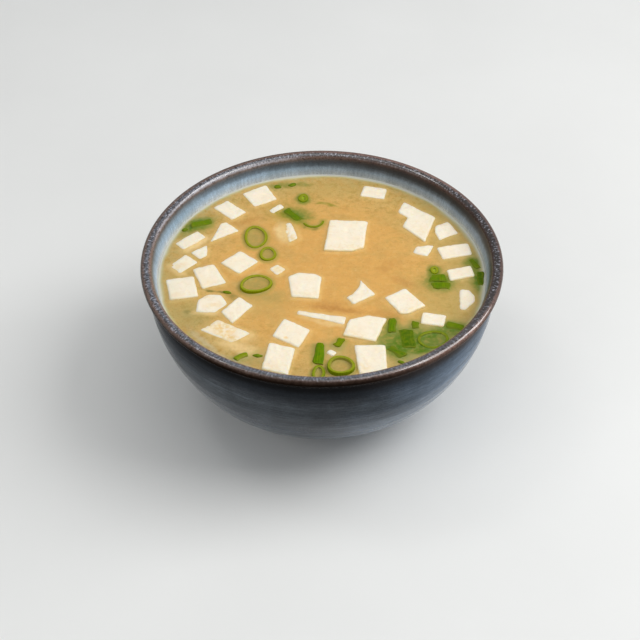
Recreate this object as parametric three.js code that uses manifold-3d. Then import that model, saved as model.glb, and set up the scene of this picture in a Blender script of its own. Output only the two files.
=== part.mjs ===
// A bowl of miso soup: a thrown stoneware bowl on a turned foot ring, filled with soup in which
// blocks of tofu and cut scallions float. Millimetres, +Z up. The origin is at the centre of the
// foot's underside, +X points to the right and +Y to the far side of the bowl.

import * as THREE from 'three';
import { mergeVertices } from 'three/addons/utils/BufferGeometryUtils.js';
import Module from 'manifold-3d';

const wasm = await Module();
wasm.setup();

// ---- Driving dimensions -------------------------------------------------------------------

const HEIGHT = 59.5;        // foot to the top of the lip
const RIM_RADIUS = 65;      // outermost circle of the lip
const RIM_LEVEL = 58;       // height of that circle
const NECK_RADIUS = 62.7;   // the wall just under the lip
const NECK_LEVEL = 54.2;
const MOUTH_RADIUS = 61;    // inner edge of the lip
const MOUTH_LEVEL = 58.5;
const FOOT_RADIUS = 27;     // turned foot ring
const FOOT_HEIGHT = 4;
const FOOT_RING = 5;        // width of the ring
const FOOT_RECESS = 2.5;    // how far the base is turned out inside the ring
const FLOOR_LEVEL = 8.2;    // inside of the base
const SOUP_LEVEL = 51;
const SOUP_RADIUS = 59.3;   // the wall's inner radius at the soup's level
const GAP = 0.35;           // clearance between neighbouring solids
const SIDES = 60;           // facets round the bowl

const TOFU_DEPTH = 8;       // a block's height, most of it below the surface
const TOFU_RISE = 0.8;      // how far a floating block stands out of the soup
const TOFU_EDGE = 0.5;      // softness of the cut edges
const TOFU_CORNER = 0.7;    // softness of the upright corners

const SCALLION_WALL = 1.1;  // thickness of the scallion's green tube
const LEAF_WALL = 0.6;      // and of a leaf pressed flat
const RING_FACETS = 18;
const LEAF_FACETS = 12;

// ---- Materials ----------------------------------------------------------------------------

const glaze = new THREE.MeshStandardMaterial({ color: 0x5d6670, roughness: 0.28, metalness: 0 });
const broth = new THREE.MeshStandardMaterial({ color: 0xcfa465, roughness: 0.2, metalness: 0 });
const curd = new THREE.MeshStandardMaterial({ color: 0xf3e7d2, roughness: 0.5, metalness: 0 });
const green = new THREE.MeshStandardMaterial({ color: 0x6c8a10, roughness: 0.4, metalness: 0 });

// ---- Helpers ------------------------------------------------------------------------------

const degrees = THREE.MathUtils.degToRad;
const point = (x, y) => new THREE.Vector2(x, y);

// Points along a cubic curve from a to d, without its first point.
function bend(a, b, c, d, steps) {
  return new THREE.CubicBezierCurve(a, b, c, d).getPoints(steps).slice(1);
}

// A profile of radius and height, turned round the Z axis.
function turned(profile) {
  return new THREE.LatheGeometry(profile, SIDES).rotateX(Math.PI / 2);
}

// A flat outline given a height, its top face at z = 0.
function slab(outline, height, holes = []) {
  const shape = new THREE.Shape(outline);
  shape.holes = holes.map((hole) => new THREE.Path(hole));
  const geometry = new THREE.ExtrudeGeometry(shape, { depth: height, bevelEnabled: false });
  return geometry.translate(0, 0, -height);
}

// A closed skin over a stack of like outlines, each [outline, height], from the lowest up.
function stacked(levels) {
  const count = levels[0][0].length;
  const positions = levels.flatMap(([outline, z]) => outline.flatMap((p) => [p.x, p.y, z]));
  const last = count * (levels.length - 1);
  const cap = THREE.ShapeUtils.triangulateShape(levels.at(-1)[0], []);
  const faces = cap.flatMap(([a, b, c]) => [a, c, b, last + a, last + b, last + c]);
  for (let i = 0; i < last; i += 1) {
    const next = i % count === count - 1 ? i + 1 - count : i + 1;
    faces.push(i, next, next + count, i, next + count, i + count);
  }
  const geometry = new THREE.BufferGeometry();
  geometry.setAttribute('position', new THREE.Float32BufferAttribute(positions, 3));
  geometry.setIndex(faces);
  return geometry;
}

// A polygon moved outwards by a distance, its corners kept sharp.
function grown(corners, by) {
  return corners.map((corner, i) => {
    const before = corner.clone().sub(corners.at(i - 1)).normalize();
    const after = corners[(i + 1) % corners.length].clone().sub(corner).normalize();
    const outwards = point(before.y + after.y, -before.x - after.x);
    return corner.clone().addScaledVector(outwards, by / (1 + before.dot(after)));
  });
}

// A polygon whose outer corners are rounded with a short curve; a corner that points in stays.
function softened(corners, radius) {
  return corners.flatMap((corner, i) => {
    const before = corners.at(i - 1).clone().sub(corner);
    const after = corners[(i + 1) % corners.length].clone().sub(corner);
    if (after.cross(before) < 0) return [corner];
    const reach = Math.min(radius, before.length() / 3, after.length() / 3);
    const start = corner.clone().addScaledVector(before.normalize(), reach);
    const end = corner.clone().addScaledVector(after.normalize(), reach);
    return new THREE.QuadraticBezierCurve(start, corner, end).getPoints(2);
  });
}

// A flattened oval, |x / halfThick|³ + |y / halfWide|³ = 1.
function flattened(halfThick, halfWide, facets) {
  const pressed = (value) => Math.sign(value) * Math.abs(value) ** (2 / 3);
  return Array.from({ length: facets }, (_, i) => {
    const angle = (2 * Math.PI * i) / facets;
    return point(halfThick * pressed(Math.cos(angle)), halfWide * pressed(Math.sin(angle)));
  });
}

// An oval of two half-widths, with three slight bulges that make it as uneven as a cut stalk.
function oval(halfWide, halfLong, facets, bulge = 0, phase = 0) {
  return Array.from({ length: facets }, (_, i) => {
    const angle = (2 * Math.PI * i) / facets;
    const swell = 1 + bulge * Math.cos(3 * angle + phase);
    return point(halfWide * swell * Math.cos(angle), halfLong * swell * Math.sin(angle));
  });
}

function toManifold(geometry) {
  const bare = new THREE.BufferGeometry();
  bare.setAttribute('position', geometry.getAttribute('position').clone());
  if (geometry.index) bare.setIndex(geometry.index.clone());
  const merged = mergeVertices(bare, 1e-4);
  const index = merged.index.array;
  const triangles = [];
  for (let i = 0; i < index.length; i += 3) {
    const [a, b, c] = index.slice(i, i + 3);
    if (a !== b && b !== c && c !== a) triangles.push(a, b, c);
  }
  return new wasm.Manifold(new wasm.Mesh({
    numProp: 3,
    vertProperties: new Float32Array(merged.getAttribute('position').array),
    triVerts: new Uint32Array(triangles),
  }));
}

function toGeometry(manifold) {
  const { vertProperties, triVerts } = manifold.getMesh();
  const geometry = new THREE.BufferGeometry();
  geometry.setAttribute('position', new THREE.BufferAttribute(new Float32Array(vertProperties), 3));
  geometry.setIndex(new THREE.BufferAttribute(new Uint32Array(triVerts), 1));
  return geometry;
}

const soupBowl = new THREE.Group();
const hollows = [];  // the room each floating piece takes up in the soup

// Adds a floating piece to the group, and the slightly larger room it needs to the hollows.
function floatPiece(name, material, geometry, room, place) {
  const mesh = new THREE.Mesh(geometry, material);
  mesh.name = name;
  mesh.position.set(place.at[0], place.at[1], SOUP_LEVEL + place.top);
  const [tipX, tipY] = place.tilt ?? [0, 0];
  mesh.rotation.set(degrees(tipX), degrees(tipY), degrees(place.turn ?? 0));
  mesh.updateMatrix();
  hollows.push(toManifold(room.applyMatrix4(mesh.matrix)));
  soupBowl.add(mesh);
}

// ---- Bowl: one thrown wall, with a rolled lip, a round belly and a foot ring -----------------

function outerWall() {
  const foot = point(FOOT_RADIUS, FOOT_HEIGHT);
  const neck = point(NECK_RADIUS, NECK_LEVEL);
  return bend(foot, point(51.3, 6.8), point(63.6, 34.7), neck, 9);
}

// The inside below the soup line, from the wall down to the floor, set inwards by a clearance.
function innerWall(clearance) {
  const top = point(SOUP_RADIUS, SOUP_LEVEL);
  const bottom = point(24, FLOOR_LEVEL + 0.3);
  return [top, ...bend(top, point(59.6, 34), point(48, 11.5), bottom, 7)]
    .map((p, i) => point(p.x - clearance, i ? p.y + clearance : p.y));
}

function lip() {
  const rim = point(RIM_RADIUS, RIM_LEVEL);
  const crest = point(63.3, HEIGHT);
  const mouth = point(MOUTH_RADIUS, MOUTH_LEVEL);
  return [
    point(64.1, RIM_LEVEL - 1.8),
    rim,
    point(64.6, HEIGHT - 0.5),
    crest,
    point(61.9, HEIGHT - 0.2),
    mouth,
    point(60.2, MOUTH_LEVEL - 3),
  ];
}

function makeBowl() {
  const recess = FOOT_RADIUS - FOOT_RING;
  const profile = [
    point(0, FOOT_RECESS),
    point(recess - 1, FOOT_RECESS),
    point(recess, 0),
    point(FOOT_RADIUS - 0.5, 0),
    point(FOOT_RADIUS, 0.5),
    point(FOOT_RADIUS, FOOT_HEIGHT),
    ...outerWall(),
    ...lip(),
    ...innerWall(0),
    point(0, FLOOR_LEVEL),
  ];
  const bowl = new THREE.Mesh(turned(profile), glaze);
  bowl.name = 'bowl';
  soupBowl.add(bowl);
}

// ---- Tofu: blocks cut by hand, no two alike ---------------------------------------------------

// Each block is a near side `long` and a far side `long` x `taper`, `wide` apart, the far side
// moved along by `shift`. A chip takes off a corner, [corner, before, after, bite], where a bite
// hollows the broken face. A dent runs along a side, [side, from, to, depth].
const TOFU = [
  { at: [-23.8, 45.1], long: 10, wide: 10, turn: 29, taper: 1.07, top: 0.9, tilt: [1, -1] },
  { at: [-17.2, 37.5], long: 6.4, wide: 3, turn: 44, top: 0.7, deep: 5, tilt: [0, 1] },
  { at: [-35, 36.6], long: 7.4, wide: 10.7, turn: 41, shift: -0.8, top: 0.8, tilt: [-1, 1] },
  { at: [-36.7, 24.8], long: 13.2, wide: 7.6, turn: 32, shift: 3.6, taper: 0.2, top: 0.7 },
  { at: [-48.8, 18.5], long: 11.2, wide: 5.4, turn: 43, top: 0.7, tilt: [1, 0] },
  { at: [-44.4, 11.3], long: 3.6, wide: 5.6, turn: 37, shift: 1.7, taper: 2.3, top: 0.6 },
  { at: [-50.7, 4.9], long: 9.2, wide: 6.9, turn: 46, top: 0.6, tilt: [1, -2] },
  { at: [-29.9, 5.8], long: 10.2, wide: 9.6, turn: 46, shift: -0.6, top: 0.8, tilt: [0, 1] },
  { at: [-40.8, -2.1], long: 9.7, wide: 11.9, turn: 21, shift: -0.7, taper: 0.86, tilt: [1, 1] },
  { at: [-50.1, -8.6], long: 10.5, wide: 11.6, turn: 11, shift: -0.3, top: 0.9, tilt: [-1, 0] },
  { at: [-12, 23.7], long: 12.7, wide: 4.3, turn: -76, shift: -1, taper: 0.8, top: 0.4, tilt: [0, -7] },
  { at: [-16, 2.1], long: 5.4, wide: 5, turn: 44, taper: 0.9, top: 0.4, deep: 5, tilt: [-1, 1] },
  {
    at: [-38.9, -16.6], long: 11, wide: 10, turn: -3, top: 0.5, tilt: [1, 1],
    chips: [[1, 3.7, 4.5], [2, 4.5, 2.7], [3, 3.5, 3.4]],
  },
  { at: [-30.1, -19.9], long: 12.2, wide: 7.3, turn: 53, shift: 1.4, taper: 0.86, top: 0.8, tilt: [-1, 1] },
  { at: [-33.6, -31.1], long: 13.4, wide: 8.2, turn: -30, shift: 3.5, taper: 1.12, top: 0.4, tilt: [-1, 0] },
  {
    at: [-6.1, -7.1], long: 10.1, wide: 13.7, turn: -6, shift: -1.6, taper: 1.3, top: 0.9,
    tilt: [-1, 0], chips: [[2, 1.4, 2.6], [3, 4.3, 2.6]],
  },
  {
    at: [9.1, 21], long: 14.7, wide: 18.5, turn: -3, shift: 1.3, top: 1.1, tilt: [-1, 1],
    chips: [[1, 4.3, 2.4, 0.4]],
  },
  { at: [20.1, 47.5], long: 10, wide: 6.9, turn: -12, taper: 0.94, top: 0.8, tilt: [1, 0] },
  {
    at: [34.9, 30.4], long: 15.6, wide: 14.7, turn: 72, shift: 7.7, taper: 0.85, top: 0.9,
    tilt: [-1, -1], chips: [[2, 1.2, 1.2], [3, 5.4, 4.6, 3]],
  },
  {
    at: [45.9, 24.2], long: 8.9, wide: 8.1, turn: 30, shift: 1.1, taper: 0.86, top: 0.8,
    tilt: [1, 1], chips: [[3, 1.7, 3.4]],
  },
  { at: [37.3, 12.9], long: 7.7, wide: 6.3, turn: 68, shift: -1.7, taper: 0.57, top: 0.6, tilt: [0, 1] },
  { at: [49.1, 12.2], long: 11.8, wide: 7.3, turn: 13, taper: 1.07, top: 0.8, tilt: [1, 1] },
  { at: [50.2, -0.4], long: 9.5, wide: 6.3, turn: 15, shift: 0.6, taper: 1.02, top: 1, tilt: [-1, -1] },
  {
    at: [51.6, -14.8], long: 4.9, wide: 11, turn: -1, shift: 1.2, taper: 1.35, top: 0.8,
    tilt: [0, -2], chips: [[1, 2.6, 4.2], [2, 4, 2.8]],
  },
  {
    at: [13.2, -11.8], long: 4.7, wide: 9.9, turn: -56, shift: -2.5, taper: 2.1, top: 0.9,
    dent: [3, 0.28, 0.74, 1.2],
  },
  {
    at: [29.2, -16.1], long: 10.2, wide: 12, turn: 33, taper: 0.93, top: 1, tilt: [-1, -1],
    chips: [[0, 1.6, 2]],
  },
  { at: [39, -25.2], long: 8.3, wide: 6.4, turn: -12, taper: 1.08, top: 0.9, tilt: [-2, 0] },
  { at: [-0.2, -23.5], long: 4.4, wide: 17.7, turn: 77, shift: 0.6, taper: 0.55, top: 0.6, tilt: [-1, 0] },
  {
    at: [14.8, -29.2], long: 11.9, wide: 12.7, turn: -14, shift: 0.8, taper: 1.07, top: 1.1,
    tilt: [-1, 1], chips: [[3, 6, 4]],
  },
  { at: [-10.6, -32.2], long: 11.3, wide: 10.2, turn: -33, shift: -1.6, top: 0.9, tilt: [-1, 0] },
  { at: [-14.8, -45.1], long: 9.8, wide: 13.6, turn: -19, shift: -2.2, top: 1, tilt: [-1, 1] },
  { at: [16.8, -45.5], long: 9.7, wide: 14.7, turn: 0, shift: -0.9, taper: 1.12, top: 1, tilt: [-1, -1] },
  { at: [3.3, -42], long: 3, wide: 3.5, turn: 53, top: 0.7, deep: 4 },
];

function withDent(corners, [side, from, to, deep]) {
  const start = corners[side];
  const along = corners[(side + 1) % corners.length].clone().sub(start);
  const inwards = point(-along.y, along.x).normalize().multiplyScalar(deep);
  const dent = [from, to].map((t) => start.clone().addScaledVector(along, t).add(inwards));
  return corners.toSpliced(side + 1, 0, ...dent);
}

function withoutChips(corners, chips) {
  return corners.flatMap((corner, i) => {
    const chip = chips.find(([which]) => which === i);
    if (!chip) return [corner];
    const [, before, after, bite = 0] = chip;
    const back = corners.at(i - 1).clone().sub(corner).normalize();
    const forth = corners[(i + 1) % corners.length].clone().sub(corner).normalize();
    const start = corner.clone().addScaledVector(back, before);
    const end = corner.clone().addScaledVector(forth, after);
    const middle = start.clone().lerp(end, 0.5);
    const inwards = middle.clone().sub(corner).normalize();
    return bite ? [start, middle.addScaledVector(inwards, bite), end] : [start, end];
  });
}

function blockOutline({ long, wide, shift = 0, taper = 1, chips = [], dent }) {
  const near = long / 2;
  const far = (long * taper) / 2;
  const corners = [
    point(-near - shift / 2, -wide / 2),
    point(near - shift / 2, -wide / 2),
    point(far + shift / 2, wide / 2),
    point(-far + shift / 2, wide / 2),
  ];
  return dent ? withDent(corners, dent) : withoutChips(corners, chips);
}

// The block is as wide as its outline down from its top face, whose edge is softened.
function blockSolid(outline, deep) {
  const full = softened(outline, TOFU_CORNER);
  const face = softened(grown(outline, -TOFU_EDGE), TOFU_CORNER);
  return stacked([[full, -deep], [full, -TOFU_EDGE], [face, 0]]);
}

function makeTofu() {
  TOFU.forEach((block, i) => {
    const outline = blockOutline(block);
    const deep = block.deep ?? TOFU_DEPTH;
    const place = { ...block, top: block.top ?? TOFU_RISE };
    const room = slab(grown(outline, GAP), deep + GAP + HEIGHT).translate(0, 0, HEIGHT);
    const name = `tofu_${String(i + 1).padStart(2, '0')}`;
    floatPiece(name, curd, blockSolid(outline, deep), room, place);
  });
}

// ---- Scallions: rings and curls across the stalk, and flattened lengths of leaf ----------------

// A ring is cut square across the tube, or aslant where it is longer than wide.
const RINGS = [
  { at: [-24.6, 20.3], wide: 8.6, long: 12.6, turn: 4, tall: 2.6, top: 0.8, tilt: [2, 0] },
  { at: [-19.8, 10.5], wide: 6.2, long: 7.8, turn: 0, tall: 2.4, top: 0.8, tilt: [0, 2] },
  { at: [-23.6, -6.4], wide: 12, long: 9.8, turn: 24, tall: 3, top: 1.1, tilt: [-4, 2] },
  { at: [-7.1, 44.2], wide: 4, long: 5.2, turn: 0, tall: 2.2, top: 0.6, wall: 1.5 },
  { at: [40.9, 1.5], wide: 3.1, long: 4.2, turn: 0, tall: 2.2, top: 0.6 },
  { at: [38.4, -35.4], wide: 11, long: 8.8, turn: 12, tall: 2, top: 0.6, tilt: [2, 1] },
  { at: [-1.2, -52.4], wide: 4.5, long: 7.8, turn: -6, tall: 3, top: 1 },
  { at: [6.4, -48.9], wide: 9.5, long: 9.2, turn: 0, tall: 3.6, top: 1.6, tilt: [-3, 1] },
];

// A curl is part of a ring that has opened, from one angle round to another.
const CURLS = [
  { at: [-3.2, 30.4], radius: 3.7, from: -165, to: 5, tall: 2.2, top: 0.5, wall: 0.9 },
  { at: [-23.5, -50.5], radius: 7.8, from: 103, to: 141, tall: 2.4, top: 0.9, wall: 2 },
];

// A leaf is a length of the tube pressed flat: `long` along the leaf, `wide` across it.
const LEAVES = [
  { at: [-10.8, 33.7], long: 8, wide: 3.4, turn: -50, top: 0.6, tilt: [2, 0] },
  { at: [-45.4, 28.9], long: 7, wide: 4.2, turn: 14, top: 0.6, tilt: [0, 2] },
  { at: [42.1, -2.9], long: 3.7, wide: 6, turn: 88, top: 0.7 },
  { at: [42.6, -7], long: 3.7, wide: 6.4, turn: 88, top: 0.7 },
  { at: [57.2, -3.4], long: 7.2, wide: 2.3, turn: 88, top: 0.8, tilt: [0, -4] },
  { at: [55.8, 5.6], long: 5.4, wide: 2, turn: -60, top: 0.5 },
  { at: [24.5, -28.4], long: 6.8, wide: 3, turn: 88, top: 0.8 },
  { at: [29.5, -34.8], long: 8.8, wide: 5.4, turn: -84, top: 0.6, tilt: [1, 0] },
  { at: [32.5, -27.9], long: 3.6, wide: 2.8, turn: 82, top: 0.6 },
  { at: [46.7, -28.5], long: 6, wide: 3.4, turn: -22, top: 0.6, tilt: [0, 1] },
  { at: [25.6, -41.2], long: 6.4, wide: 2.8, turn: -45, top: 0.6 },
  { at: [5.8, -37.2], long: 4.2, wide: 3.2, turn: 60, top: 0.9, thick: 2 },
  { at: [-1.1, -42.9], long: 9.4, wide: 3.4, turn: 87, top: 1.1, thick: 2, tilt: [2, 0] },
];

function ringSlab({ wide, long, tall, wall = SCALLION_WALL }, spread, bulge, phase) {
  const outer = oval(wide / 2 + spread, long / 2 + spread, RING_FACETS, bulge, phase);
  const inset = wall + spread;
  const inner = oval(wide / 2 - inset, long / 2 - inset, RING_FACETS, bulge, phase);
  const above = spread ? HEIGHT : 0;
  return slab(outer, tall + spread + above, [inner]).translate(0, 0, above);
}

function makeRings() {
  const bulge = 0.03;
  RINGS.forEach((ring, i) => {
    const name = `scallion_ring_${i + 1}`;
    floatPiece(name, green, ringSlab(ring, 0, bulge, i), ringSlab(ring, GAP, bulge, i), ring);
  });
}

function curlOutline({ radius, from, to, wall }, spread) {
  const steps = 10;
  const overrun = spread / radius;
  const angles = Array.from({ length: steps + 1 }, (_, i) => {
    return degrees(from) - overrun + ((degrees(to - from) + 2 * overrun) * i) / steps;
  });
  const onArc = (r) => (angle) => point(r * Math.cos(angle), r * Math.sin(angle));
  const outer = angles.map(onArc(radius + wall / 2 + spread));
  const inner = angles.map(onArc(radius - wall / 2 - spread)).reverse();
  return [...outer, ...inner];
}

function makeCurls() {
  CURLS.forEach((curl, i) => {
    const room = slab(curlOutline(curl, GAP), curl.tall + GAP + HEIGHT).translate(0, 0, HEIGHT);
    const body = slab(curlOutline(curl, 0), curl.tall);
    floatPiece(`scallion_curl_${i + 1}`, green, body, room, curl);
  });
}

// The flattened tube lies along X with its top at z = 0.
function leafTube({ long, wide, thick = 1.6 }, spread) {
  const section = flattened(thick / 2 + spread, wide / 2 + spread, LEAF_FACETS);
  const slit = flattened(thick / 2 - LEAF_WALL, wide / 2 - LEAF_WALL, LEAF_FACETS);
  const tube = slab(section, long + 2 * spread, spread ? [] : [slit]);
  return tube.translate(0, 0, long / 2 + spread).rotateY(Math.PI / 2).translate(0, 0, -thick / 2);
}

function makeLeaves() {
  LEAVES.forEach((leaf, i) => {
    floatPiece(`scallion_leaf_${i + 1}`, green, leafTube(leaf, 0), leafTube(leaf, GAP), leaf);
  });
}

// ---- Soup: fills the bowl to its level, hollow where the pieces float --------------------------

// Shreds too small to be pieces of their own lie half sunk: place, length, breadth and turn.
const SHREDS = [
  { at: [-17.1, 51.8], long: 3, wide: 2.2, turn: 0 },
  { at: [-11.3, 53], long: 3.2, wide: 2.2, turn: 20 },
  { at: [-51.3, 25.2], long: 2.6, wide: 1.8, turn: 30 },
  { at: [27, -46.4], long: 2.6, wide: 1.6, turn: -20 },
  { at: [-21.9, -43.2], long: 3.4, wide: 1.6, turn: -8 },
  { at: [-34, -10.4], long: 3.6, wide: 1.4, turn: -14 },
];

function shred({ at, long, wide, turn }) {
  const thick = 1.2;
  return new THREE.SphereGeometry(1, 8, 4)
    .rotateX(Math.PI / 2)
    .scale(long / 2, wide / 2, thick / 2)
    .rotateZ(degrees(turn))
    .translate(at[0], at[1], SOUP_LEVEL);
}

function makeSoup() {
  const wall = innerWall(GAP);
  const profile = [point(0, FLOOR_LEVEL + GAP), ...wall.reverse(), point(0, SOUP_LEVEL)];
  let soup = toManifold(turned(profile));
  for (const hollow of hollows) soup = soup.subtract(hollow);
  for (const bit of SHREDS) soup = soup.add(toManifold(shred(bit)));
  const mesh = new THREE.Mesh(toGeometry(soup), broth);
  mesh.name = 'soup';
  soupBowl.add(mesh);
}

makeBowl();
makeTofu();
makeRings();
makeCurls();
makeLeaves();
makeSoup();

export default soupBowl;
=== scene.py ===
"""A bowl of miso soup: glazed stoneware, a cloudy miso broth, blocks of tofu and cut scallions.

The pieces are dressed in the order in which the dish is put together: the bowl, the soup ladled
into it, the tofu and the scallions, then the table, the light and the camera. Lengths are in
millimetres inside each section and become metres where a mesh is made.
"""

import math

import bmesh
import bpy
import numpy as np
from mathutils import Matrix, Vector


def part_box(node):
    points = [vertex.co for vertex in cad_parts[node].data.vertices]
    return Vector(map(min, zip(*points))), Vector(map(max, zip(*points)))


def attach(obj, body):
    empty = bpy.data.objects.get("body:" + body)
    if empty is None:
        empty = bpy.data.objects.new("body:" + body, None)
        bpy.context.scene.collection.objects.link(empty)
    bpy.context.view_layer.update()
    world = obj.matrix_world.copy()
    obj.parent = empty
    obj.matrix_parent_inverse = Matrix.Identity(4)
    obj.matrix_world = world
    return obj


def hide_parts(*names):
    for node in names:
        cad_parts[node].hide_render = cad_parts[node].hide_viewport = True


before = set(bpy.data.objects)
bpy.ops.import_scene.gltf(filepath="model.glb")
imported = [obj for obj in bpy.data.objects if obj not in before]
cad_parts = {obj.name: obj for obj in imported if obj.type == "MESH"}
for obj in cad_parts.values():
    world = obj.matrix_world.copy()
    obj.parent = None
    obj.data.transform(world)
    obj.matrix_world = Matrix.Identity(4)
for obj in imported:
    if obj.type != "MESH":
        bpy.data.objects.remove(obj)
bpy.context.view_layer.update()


# ---- Bowl ----------------------------------------
# Thrown stoneware with a turned foot ring, a round belly and a lip rolled outwards. It is dipped
# in a slate-blue glaze, which runs thin over the lip and burns brown there, and is paler inside.

MM = 0.001
WELD = 0.002         # points of a mesh that lie nearer than this are one
RIM_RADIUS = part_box("bowl")[1].x / MM
BOWL_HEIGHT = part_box("bowl")[1].z / MM
FOOT_RADIUS = 27.0
FOOT_HEIGHT = 4.0
FOOT_RING = 5.0
FOOT_RECESS = 2.5
FLOOR_LEVEL = 8.2
NECK = (RIM_RADIUS - 2.3, BOWL_HEIGHT - 5.3)
CREST = (RIM_RADIUS - 1.7, BOWL_HEIGHT)
MOUTH = (RIM_RADIUS - 4.05, BOWL_HEIGHT - 1.3)
SOUP_LEVEL = 51.0
SOUP_RADIUS = 59.3
BOWL_SIDES = 320
RING_SPACING = 6.3   # from one of the potter's finger rings to the next
FINE_SPACING = 2.6

# How the glaze breaks over the lip: millimetres from its crest along the wall, below zero outside and
# above zero inside, with the colour on the side away from the window and the colour on the side towards
# it. Both hold painted light and shade as well as the glaze's own colour. Away from the window, the
# outside under the lip is painted in shade and the inside painted lit. Towards the window, the outside
# is painted lit and the inside painted in shade. The palest stops, at the soup line, are partly a pale
# film and partly a painted highlight on the meniscus.
GLAZE_BANDS = [
    (-12, (46, 51, 57), (88, 100, 114)),
    (-8.5, (22, 23, 25), (76, 74, 76)),
    (-5, (14, 10, 8), (82, 62, 54)),
    (-3, (20, 14, 10), (86, 66, 58)),
    (-2.2, (54, 40, 31), (98, 76, 66)),
    (-1.5, (104, 82, 70), (130, 100, 90)),
    (-0.9, (112, 92, 84), (122, 98, 90)),
    (-0.4, (88, 82, 82), (84, 76, 74)),
    (0, (98, 101, 109), (72, 66, 65)),
    (0.7, (102, 104, 112), (70, 62, 59)),
    (1.1, (110, 96, 90), (80, 66, 60)),
    (1.6, (134, 110, 98), (94, 74, 66)),
    (2.2, (126, 106, 95), (80, 64, 57)),
    (2.8, (104, 98, 96), (58, 50, 46)),
    (3.4, (110, 116, 122), (52, 49, 48)),
    (4.2, (130, 146, 160), (58, 60, 62)),
    (5.2, (150, 173, 195), (88, 96, 103)),
    (6.5, (166, 190, 213), (142, 158, 174)),
    (8.3, (194, 207, 221), (168, 178, 187)),
    (9.3, (220, 221, 217), (208, 208, 200)),
    (12, (236, 234, 226), (230, 228, 220)),
]
BAND_REACH = 12.0    # how far from the crest the table above goes
# The belly on its side towards the window, painted lit.
BELLY_LIT = (120, 137, 157)
LIT_SIDE = -22.0    # the direction in which the belly is painted most lit, in degrees
WINDOW_SIDE = 20.0     # the direction towards which the glaze's outside is painted lit and its inside painted in shade
# The belly on its side away from the window, in painted shade that is darkest under the lip and
# lightened towards the foot by a painted bounce light from the table, from near the foot up to the neck.
BELLY_SHADED = [
    (0, (85, 92, 100)), (0.2, (77, 84, 91)), (0.38, (70, 76, 83)), (0.58, (67, 71, 76)),
    (0.76, (64, 68, 72)), (0.88, (67, 71, 75)), (0.95, (53, 56, 60)), (1, (34, 36, 39)),
]

# Painted light and shade on the lip and belly: darker and duller where shade is painted, or lighter and
# glassier, painted light and highlights, where a number is below zero. Direction and half-angle in
# degrees, from and to in millimetres from the crest, how much darker and how much duller.
PAINTED_LIGHT_AND_SHADE = [
    (260, 46, -3.4, -1.8, 0.6, 0.9),
    (300, 20, -2.6, -1.9, 0.25, 0.5),
    (291, 15, -1.7, -1.1, -0.3, -0.6),
    (330, 16, -2.2, -1.4, -0.2, -0.2),
    (4, 38, -2.6, 1.6, 0.5, 0),
    (-4, 34, 2.4, 5.4, -0.35, 0),
    (112, 38, 2.8, 4.6, 0.42, 0),
    (208, 60, -70, -9, -0.45, 0),
    (260, 17, -1.6, -1.3, 0.35, 0.5),
    (270, 24, -2.2, -1.9, 0.5, 0.6),
    (316, 22, -2.2, -2, -0.6, -0.5),
]
# Where a highlight of the window is painted on the inner shoulder of the lip, and where the lip's
# speckles are faint: as above, without the last two numbers.
LIP_HIGHLIGHT = (136, 44, 0.8, 1.2)
CALM = (282, 62, -3, 3)
SPECKLE_ROUND = 63.0     # the radius of the circle along which the lip's speckles are spread


def curve(start, pull_a, pull_b, end, steps):
    """Cubic Bezier: from start to end, leaving towards pull_a and arriving from pull_b. Its last
    point is left out."""
    t = np.linspace(0, 1, steps, endpoint=False)[:, None]
    a, b, c, d = (np.array(p, float) for p in (start, pull_a, pull_b, end))
    return (1 - t) ** 3 * a + 3 * (1 - t) ** 2 * t * b + 3 * (1 - t) * t**2 * c + t**3 * d


def straight(start, end, steps):
    """Evenly spaced points on a line, without its last one."""
    t = np.linspace(0, 1, steps, endpoint=False)[:, None]
    return np.array(start, float) * (1 - t) + np.array(end, float) * t


def inner_wall(steps):
    """Radius and height of the wall below the soup line, from the soup down to the floor."""
    return curve((SOUP_RADIUS, SOUP_LEVEL), (59.6, 34), (48, 11.5), (24, FLOOR_LEVEL + 0.3), steps)


def bowl_profile():
    """Radius and height along the wall: base, foot ring, belly, over the lip, and down inside.

    The second result is how far each point lies along the wall from the lip's crest."""
    inset = FOOT_RADIUS - FOOT_RING
    top = BOWL_HEIGHT
    outside = [
        straight((0, FOOT_RECESS), (inset - 1.2, FOOT_RECESS), 8),
        curve((inset - 1.2, FOOT_RECESS), (inset - 0.6, FOOT_RECESS), (inset - 0.4, 0.2),
              (inset + 0.3, 0), 5),
        straight((inset + 0.3, 0), (FOOT_RADIUS - 0.7, 0), 5),
        curve((FOOT_RADIUS - 0.7, 0), (FOOT_RADIUS - 0.2, 0), (FOOT_RADIUS, 0.2), (FOOT_RADIUS, 0.7), 4),
        straight((FOOT_RADIUS, 0.7), (FOOT_RADIUS, FOOT_HEIGHT), 5),
        curve((FOOT_RADIUS, FOOT_HEIGHT), (51.3, 6.8), (63.6, 34.7), NECK, 74),
        curve(NECK, (62.65, top - 4.2), (64.2, top - 3.6), (64.85, top - 2.2), 12),
        curve((64.85, top - 2.2), (RIM_RADIUS + 0.25, top - 1.1), (64.6, top), CREST, 14),
    ]
    inside = [
        curve(CREST, (62.1, top), (61.3, top - 0.4), MOUTH, 12),
        curve(MOUTH, (60.55, top - 2.4), (59.55, top - 4.5), (SOUP_RADIUS, SOUP_LEVEL), 24),
        inner_wall(52),
        straight((24, FLOOR_LEVEL + 0.3), (0, FLOOR_LEVEL), 8),
        np.array([[0, FLOOR_LEVEL]]),
    ]
    profile = np.concatenate(outside + inside)
    step = np.linalg.norm(np.diff(profile, axis=0), axis=1)
    along = np.concatenate([[0], np.cumsum(step)])
    crest = sum(len(part) for part in outside)
    return profile, along - along[crest]


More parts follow.
